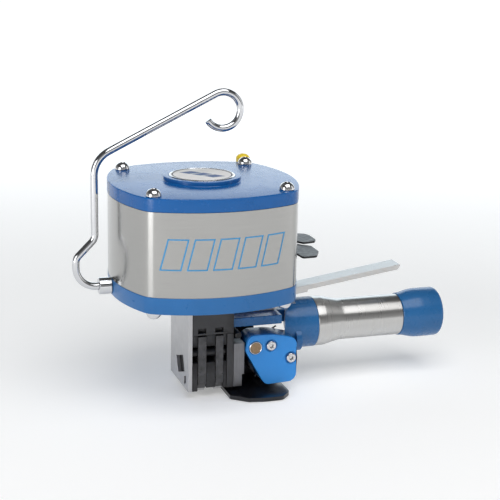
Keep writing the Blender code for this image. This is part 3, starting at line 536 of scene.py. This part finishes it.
# ---- drum ----------------------------------------------------------------------------------------
def make_caps():
    """Upper cap with its badge boss and seat, and the plain lower cap."""
    low, high = (corner.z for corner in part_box("upper_cap"))
    plate_low, plate_high = low + SPIGOT, high - BOSS_H
    soft, chamfer = 1.0 * MM, 0.3 * MM
    sections = [drum_loop(chamfer, plate_low), drum_loop(0, plate_low + chamfer)]
    sections += [drum_loop(inset, z) for inset, z in edge_loops(plate_high, 1, soft)]
    sections += [round_loop(BOSS_R + 0.5 * MM, plate_high), round_loop(BOSS_R, plate_high + 0.5 * MM)]
    sections += [round_loop(BOSS_R - inset, z) for inset, z in edge_loops(high, 1, 0.9 * MM)]
    seat = half_size("badge_plate").x + 0.3 * MM
    for radius, drop in ((seat + 0.2 * MM, 0), (seat, 0.2 * MM), (seat, 1.2 * MM)):
        sections.append(round_loop(radius, high - drop))
    dress(loft("upper_cap_shell", sections), "upper_cap")
    low, high = (corner.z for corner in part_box("lower_cap"))
    plate_high = high - SPIGOT
    sections = [drum_loop(inset, z) for inset, z in reversed(edge_loops(low, -1, soft))]
    sections += [drum_loop(0, plate_high - chamfer), drum_loop(chamfer, plate_high)]
    dress(loft("lower_cap_shell", sections), "lower_cap")


def make_sleeve():
    low, high = (corner.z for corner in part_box("cylinder_sleeve"))
    inside = SLEEVE_SKIN + 2.0 * MM
    corners = ((SLEEVE_SKIN, low), (SLEEVE_SKIN, high), (inside, high), (inside, low))
    loops = [drum_loop(inset, z) for inset, z in corners]
    dress(loft("sleeve_shell", loops, closed=True), "cylinder_sleeve")


def front_y(x, proud):
    """Y of the sleeve's front face at x, standing proud by a little."""
    offset = DRUM_SIDE_R - DRUM_HALF
    reach = DRUM_SIDE_R - SLEEVE_SKIN + proud
    return DRUM.y + offset - math.sqrt(reach ** 2 - (x - DRUM.x) ** 2)


def make_stripes():
    """Five outlined slanted bars printed on the sleeve's front, as a generic decoration."""
    line = 1.3 * MM
    low, high = 143.5 * MM, 173 * MM
    slant = 7 * MM
    width, gap = 18.6 * MM, 4.6 * MM
    start = DRUM.x - 61 * MM
    top, sunk = 0.14 * MM, 0.02 * MM        # the ink's face and its back, proud of the sleeve
    side = line * math.hypot(slant, high - low) / (high - low)
    lean = slant * line / (high - low)
    steps = 12
    for index in range(5):
        left = start + index * (width + gap)
        outer = [(left, low), (left + width, low), (left + width + slant, high), (left + slant, high)]
        inner = [(left + side + lean, low + line), (left + width - side + lean, low + line),
                 (left + width + slant - side - lean, high - line), (left + slant + side - lean, high - line)]
        stations = []
        for corner in range(4):
            for step in range(steps):
                t = step / steps
                station = []
                for loop, proud in ((outer, top), (inner, top), (inner, sunk), (outer, sunk)):
                    a, b = loop[corner], loop[(corner + 1) % 4]
                    x, z = a[0] + (b[0] - a[0]) * t, a[1] + (b[1] - a[1]) * t
                    station.append(Vector((x, front_y(x, proud), z)))
                stations.append(station)
        bar = loft("sleeve_stripe_%d" % (index + 1), stations, closed=True)
        bar.data.materials.append(PRINT_BLUE)
        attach(bar, "frame")


def make_badge():
    """Enamelled field, slightly crowned, inside a bright rim that is a piece of its own."""
    low, high = (corner.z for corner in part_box("badge_plate"))
    radius = half_size("badge_plate").x
    rim = 1.7 * MM
    field_r = radius - rim - 0.1 * MM
    crown = 0.4 * MM
    ring = [(low, radius - rim), (low, radius), (high - 0.5 * MM, radius),
            (high - 0.15 * MM, radius - 0.35 * MM), (high, radius - 0.9 * MM),
            (high - 0.1 * MM, radius - rim + 0.3 * MM), (high - 0.5 * MM, radius - rim)]
    item = dress(lathe("badge_rim", ring, "Z", DRUM, closed=True), "badge_plate", extra=True)
    item.data.materials[0] = FINISHES["bright_steel"]
    field = [(low, field_r), (high - crown, field_r)]
    for t in (0.25, 0.5, 0.75, 0.97):
        field.append((high - crown + 0.25 * MM * (1 - (1 - t) ** 2), field_r * (1 - t)))
    dress(lathe("badge_field", field, "Z", DRUM), "badge_plate")


def dome(node, up):
    """Button head with a rolled lower edge and a hexagon socket; up is 1 or -1."""
    low, high = (corner.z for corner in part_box(node))
    centre = centre_of(node)
    cad_height, height = 7.4 * MM, 6.4 * MM
    radius, shank = half_size(node).x, 4.0 * MM
    base = (high if up > 0 else low) - up * cad_height
    top = base + up * height
    end = low if up > 0 else high
    socket = 2.5 * MM
    profile = [(end, shank), (base, shank), (base, radius - 0.3 * MM), (base + up * 0.35 * MM, radius)]
    last = 72                        # the crown stops at this angle and the socket opens
    for degree in range(8, last, 6):
        angle = math.radians(degree)
        profile.append((base + up * height * math.sin(angle) / math.sin(math.radians(last)),
                        radius * math.cos(angle) ** 0.8))
    profile += [(top, socket + 0.45 * MM), (top - up * 0.35 * MM, socket, 6),
                (top - up * 3.8 * MM, socket, 6)]
    dress(lathe(node + "_head", profile, "Z", centre, 72), node)


# ---- hook ----------------------------------------------------------------------------------------
def hook_path():
    """Centre line in X and Z, in millimetres: from the collar round the loop, up, over and into the curl."""
    diagonal = math.radians(26.3)
    curl, curl_r = (-30.2, 274.6), 17.2
    rise = (math.cos(diagonal), math.sin(diagonal))
    tangent = (curl[0] - curl_r * rise[1], curl[1] + curl_r * rise[0])
    drum_x, collar_z = DRUM.x / MM, centre_of("hook_collar").z / MM
    upright, left = drum_x - 104.0, drum_x - 122.3
    shoulder = tangent[1] - (tangent[0] - upright) / rise[0] * rise[1]
    inner_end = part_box("hook_collar")[1].x / MM - 2.2
    corners = [(inner_end, collar_z, 0), (left, collar_z, 19.0), (left, 138.7, 10.0), (upright, 157.0, 10.0),
               (upright, shoulder, 25.0), (*tangent, 0)]
    return filleted(corners, 16) + arc(curl, curl_r, 90 + math.degrees(diagonal), -148, 60)[1:]


def make_hook():
    """The bent wire, swept with a softened cut end, and the turned collar that it swivels in."""
    path = [Vector((x * MM, 0, z * MM)) for x, z in hook_path()]
    side = Vector((0, 1, 0))
    steps = 28
    sections = []
    for i, point in enumerate(path):
        along = (path[min(i + 1, len(path) - 1)] - path[max(i - 1, 0)]).normalized()
        out = along.cross(side)
        sizes = [(0, 1.0)]
        if i == len(path) - 1:
            sizes = [(-0.5 * MM, 1.0), (-0.12 * MM, 0.96), (0, 0.86)]
        for shift, scale in sizes:
            section = []
            for step in range(steps):
                angle = 2 * math.pi * step / steps
                spoke = side * math.cos(angle) + out * math.sin(angle)
                section.append(point + along * shift + spoke * HOOK_WIRE_R * scale)
            sections.append(section)
    dress(loft("hook_wire_bent", sections), "hook_wire")
    low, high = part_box("hook_collar")
    centre = (low + high) / 2
    radius = half_size("hook_collar").y
    bore = HOOK_WIRE_R + 0.3 * MM
    profile = [(high.x, bore * 0.9), (high.x, radius - 0.4 * MM), (high.x - 0.4 * MM, radius),
               (low.x + 0.8 * MM, radius), (low.x + 0.35 * MM, radius - 0.2 * MM), (low.x, radius - 0.8 * MM),
               (low.x, bore + 0.4 * MM), (low.x + 0.4 * MM, bore), (high.x - 1.9 * MM, bore)]
    dress(lathe("hook_collar_turned", profile, "X", centre, 72), "hook_collar")


# ---- rocker --------------------------------------------------------------------------------------
def make_handle():
    """Turned tube with a flared mouth, and the end cap with the shadow line where they meet."""
    low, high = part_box("handle_tube")
    cap_low, cap_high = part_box("end_cap")
    centre = Vector((0, 0, MOTOR_Z))
    flare, grip, cap_r = half_size("handle_tube").z, 20.9 * MM, half_size("end_cap").z
    x0 = low.x
    seam = cap_low.x - 0.3 * MM
    bore, end = grip - 3 * MM, high.x - 0.3 * MM
    profile = [(x0, flare - 2.5 * MM), (x0, flare - 0.4 * MM), (x0 + 0.5 * MM, flare),
               (x0 + 8.2 * MM, flare), (x0 + 10.2 * MM, flare - 0.15 * MM),
               (x0 + 26.4 * MM, grip + 0.25 * MM), (x0 + 28.2 * MM, grip + 0.05 * MM),
               (x0 + 31 * MM, grip), (seam - 0.4 * MM, grip), (seam, grip - 0.4 * MM),
               (seam, grip - 2 * MM), (end, grip - 2 * MM), (end, bore), (x0 + 18 * MM, bore)]
    dress(lathe("handle_tube_turned", profile, "X", centre, closed=True), "handle_tube")
    a, b = cap_low.x, cap_high.x
    swell = ((0, -1.7), (0, 0.3), (0.5, 0.8), (3, 1.0), (6, 1.5), (9, 2.3), (12, 3.0))
    profile = [(a + along * MM, grip + rise * MM) for along, rise in swell]
    profile += [(a + 15 * MM, cap_r - 0.6 * MM), (a + 18 * MM, cap_r - 0.2 * MM), (a + 22 * MM, cap_r)]
    corner_r, corner_steps = 4.2 * MM, 8
    for step in range(corner_steps + 1):
        angle = math.pi / 2 * step / corner_steps
        profile.append((b - corner_r + corner_r * math.sin(angle) * 0.94,
                        cap_r - corner_r * (1 - math.cos(angle))))
    profile += [(b - 0.1 * MM, 12 * MM), (b, 6 * MM), (b, 1 * MM)]
    dress(lathe("end_cap_turned", profile, "X", centre), "end_cap")


def screw_head(node):
    """Cap screw in its counterbore, with a chamfered head and a hexagon socket."""
    low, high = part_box(node)
    centre = centre_of(node)
    radius, shank, socket = half_size(node).x, 2.5 * MM, 2.0 * MM
    face, head = low.y, 3.5 * MM
    profile = [(high.y, shank), (face + head, shank), (face + head, radius), (face + 0.45 * MM, radius),
               (face + 0.1 * MM, radius - 0.4 * MM), (face, radius - 0.8 * MM), (face, socket + 0.5 * MM),
               (face + 0.3 * MM, socket, 6), (face + 2.2 * MM, socket, 6)]
    dress(lathe(node + "_head", profile, "Y", centre, 72), node)


def make_pin():
    """Bronze pin with a bright ring let into the rim of its front face."""
    low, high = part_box("rocker_pin")
    centre = centre_of("rocker_pin")
    radius = half_size("rocker_pin").x
    ring_w, ring_t, play = 0.8 * MM, 1.2 * MM, 0.05 * MM
    core = radius - ring_w - play
    profile = [(high.y, radius - 0.6 * MM), (high.y - 0.6 * MM, radius), (low.y + ring_t + play, radius),
               (low.y + ring_t + play, core), (low.y + 0.4 * MM, core), (low.y + 0.15 * MM, core - 0.3 * MM),
               (low.y + 0.1 * MM, 0.5 * MM)]
    dress(lathe("rocker_pin_turned", profile, "Y", centre, 72), "rocker_pin")
    ring = [(low.y + ring_t, core + play), (low.y + 0.2 * MM, core + play), (low.y, core + 0.25 * MM),
            (low.y, radius - 0.25 * MM), (low.y + 0.25 * MM, radius), (low.y + ring_t, radius)]
    item = dress(lathe("pin_ring", ring, "Y", centre, 72, closed=True), "rocker_pin", extra=True)
    item.data.materials[0] = FINISHES["bright_steel"]


def make_button():
    """Moulded dome on its stem."""
    low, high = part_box("vent_button")
    radius = half_size("vent_button").x
    stem, rim_h = 4.0 * MM, 3.5 * MM
    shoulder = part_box("inlet_body")[1].z + rim_h
    dome_h = high.z - shoulder - rim_h
    profile = [(low.z, stem), (shoulder, stem), (shoulder, radius - 0.4 * MM), (shoulder + 0.4 * MM, radius)]
    for degree in range(0, 86, 8):
        angle = math.radians(degree)
        profile.append((high.z - dome_h + dome_h * math.sin(angle), radius * math.cos(angle)))
    dress(lathe("vent_button_dome", profile, "Z", centre_of("vent_button"), 64), "vent_button")


# ---- remaining CAD shapes, with rolled edges ---------------------------------------------------------
# Edge radii in millimetres.
EDGES = {"cover_plate": 0.6, "foot_plate": 0.7, "rocker_lever": 0.5, "gear_housing": 0.4, "frame_beam": 0.8,
         "tension_paddle": 0.4, "notch_paddle": 0.4, "left_side_plate": 0.35, "notcher_head": 0.4}
PLAIN_EDGE = 0.3
NO_EDGES = ("rocker_spring", "collar_set_screw", "piston_seal", "worm_shaft", "rotor", "wheel_gear",
            "inlet_nipple", "cylinder_liner", "piston", "motor_cylinder")
MERGE_DISTANCE = 2 * MICRON
FLAT_ANGLE = math.radians(0.6)
ROLL_ANGLE = math.radians(35)


def refine(node):
    """A copy of a CAD node with its flat faces merged and its edges rolled over."""
    builder = bmesh.new()
    builder.from_mesh(frame["nodes"][node].data)
    bmesh.ops.remove_doubles(builder, verts=builder.verts, dist=MERGE_DISTANCE)
    bmesh.ops.dissolve_limit(builder, angle_limit=FLAT_ANGLE, verts=builder.verts,
                             edges=builder.edges, use_dissolve_boundaries=False)
    mesh = bpy.data.meshes.new(node + "_rolled")
    builder.to_mesh(mesh)
    builder.free()
    mesh.shade_smooth()
    mesh.set_sharp_from_angle(angle=SHARP_ANGLE)
    item = bpy.data.objects.new(node + "_rolled", mesh)
    bpy.context.scene.collection.objects.link(item)
    if node not in NO_EDGES:
        bevel = item.modifiers.new("rolled_edges", "BEVEL")
        bevel.width = EDGES.get(node, PLAIN_EDGE) * MM
        bevel.segments = 3
        bevel.limit_method = "ANGLE"
        bevel.angle_limit = ROLL_ANGLE
        bevel.use_clamp_overlap = True
        bevel.harden_normals = True
    dress(item, node)


def make_pieces():
    make_caps()
    make_sleeve()
    make_stripes()
    make_badge()
    for index in range(1, 5):
        dome("tie_screw_%d" % index, 1)
        dome("cap_nut_%d" % index, -1)
    make_hook()
    make_handle()
    for index in (1, 2):
        screw_head("cover_screw_%d" % index)
    make_pin()
    make_button()
    done = {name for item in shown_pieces() for name in item.get("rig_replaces", [])}
    for node in sorted(SLOTS):
        if node not in done:
            refine(node)


# ---- camera, floor and light -----------------------------------------------------------------------
CAMERA_PLACE = (-0.3877, -1.1649, 0.4595)
CAMERA_TURN = (-18.38, 14.75, 1.09)     # azimuth, elevation and roll in degrees
CAMERA_LENS = 93.6


def make_camera():
    azimuth, elevation, roll = (math.radians(a) for a in CAMERA_TURN)
    back = Vector((math.sin(azimuth) * math.cos(elevation), -math.cos(azimuth) * math.cos(elevation),
                   math.sin(elevation)))
    right = Vector((math.cos(azimuth), math.sin(azimuth), 0))
    up = back.cross(right)
    x_axis = right * math.cos(roll) + up * math.sin(roll)
    y_axis = up * math.cos(roll) - right * math.sin(roll)
    data = bpy.data.cameras.new("camera")
    data.lens = CAMERA_LENS
    camera = bpy.data.objects.new("camera", data)
    bpy.context.scene.collection.objects.link(camera)
    place = Matrix((x_axis, y_axis, back)).transposed().to_4x4()
    place.translation = CAMERA_PLACE
    camera.matrix_world = place
    bpy.context.scene.camera = camera


def softbox(name, target, azimuth, elevation, distance, size, strength, colour=(1, 1, 1)):
    """A rectangular panel aimed at the target from a bearing, a height in degrees and a distance."""
    a, e = math.radians(azimuth), math.radians(elevation)
    away = Vector((math.sin(a) * math.cos(e), -math.cos(a) * math.cos(e), math.sin(e)))
    data = bpy.data.lights.new(name, "AREA")
    data.shape = "RECTANGLE"
    data.size, data.size_y = size
    data.energy = strength
    data.color = colour
    light = bpy.data.objects.new(name, data)
    light.location = Vector(target) + away * distance
    light.visible_camera = False
    light.rotation_mode = "QUATERNION"
    light.rotation_quaternion = (-away).to_track_quat("-Z", "Y")
    bpy.context.scene.collection.objects.link(light)


def make_studio():
    low, high = cad_box
    middle = (low + high) / 2
    softbox("key_above", middle, 2, 62, 1.6, (1.5, 1.3), 20)
    softbox("left_panel", middle, -62, 4, 1.5, (0.6, 1.2), 10)
    softbox("right_panel", middle, 74, 18, 1.7, (0.5, 1.2), 2)
    softbox("back_panel", middle, 163, 16, 1.8, (2.4, 0.9), 10, (0.8, 0.92, 1.0))
    gap = 0.5 * MM
    bpy.ops.mesh.primitive_plane_add(size=60, location=(0, 0, low.z - gap))
    floor = bpy.context.object
    floor.name = "floor"
    floor.data.materials.append(floor_finish())
    make_world()
    bpy.context.scene.view_settings.view_transform = "Standard"


def make_world():
    """A dim surround, brightest at and below the horizon."""
    world = bpy.data.worlds.new("studio")
    bpy.context.scene.world = world
    world.use_nodes = True
    tree = world.node_tree
    tree.nodes["Background"].inputs["Strength"].default_value = 1.0
    coords = tree.nodes.new("ShaderNodeTexCoord")
    split = tree.nodes.new("ShaderNodeSeparateXYZ")
    ramp = tree.nodes.new("ShaderNodeValToRGB")
    tree.links.new(coords.outputs["Generated"], split.inputs[0])
    tree.links.new(split.outputs["Z"], ramp.inputs["Fac"])
    tree.links.new(ramp.outputs["Color"], tree.nodes["Background"].inputs["Color"])
    stops = ramp.color_ramp.elements
    stops[0].position, stops[0].color = 0.0, (0.36, 0.36, 0.36, 1)
    stops[1].position, stops[1].color = 1.0, (0.08, 0.08, 0.08, 1)
    for place, level in ((0.3, 0.3), (0.5, 0.08)):
        stop = stops.new(place)
        stop.color = (level, level, level, 1)


def floor_finish():
    """Pale sweep that glows a little more with distance, so that it reads as one even tone."""
    f = Finish("pale_floor", (0.78, 0.78, 0.78), 0.8)
    f.tint(f.noise((2, 2, 2)), 0.01)
    distance = f.nodes.new("ShaderNodeVectorMath")
    distance.operation = "LENGTH"
    f.links.new(f.coords.outputs["Object"], distance.inputs[0])
    reach = f.nodes.new("ShaderNodeMapRange")
    for socket, value in (("From Min", 0.4), ("From Max", 2.2), ("To Min", 0.3), ("To Max", 0.95)):
        reach.inputs[socket].default_value = value
    f.links.new(distance.outputs["Value"], reach.inputs["Value"])
    f.links.new(reach.outputs["Result"], f.shader.inputs["Emission Strength"])
    return f.set(Emission_Color=(1, 1, 1, 1), Specular_IOR_Level=0.2).material


make_pieces()
make_camera()
make_studio()
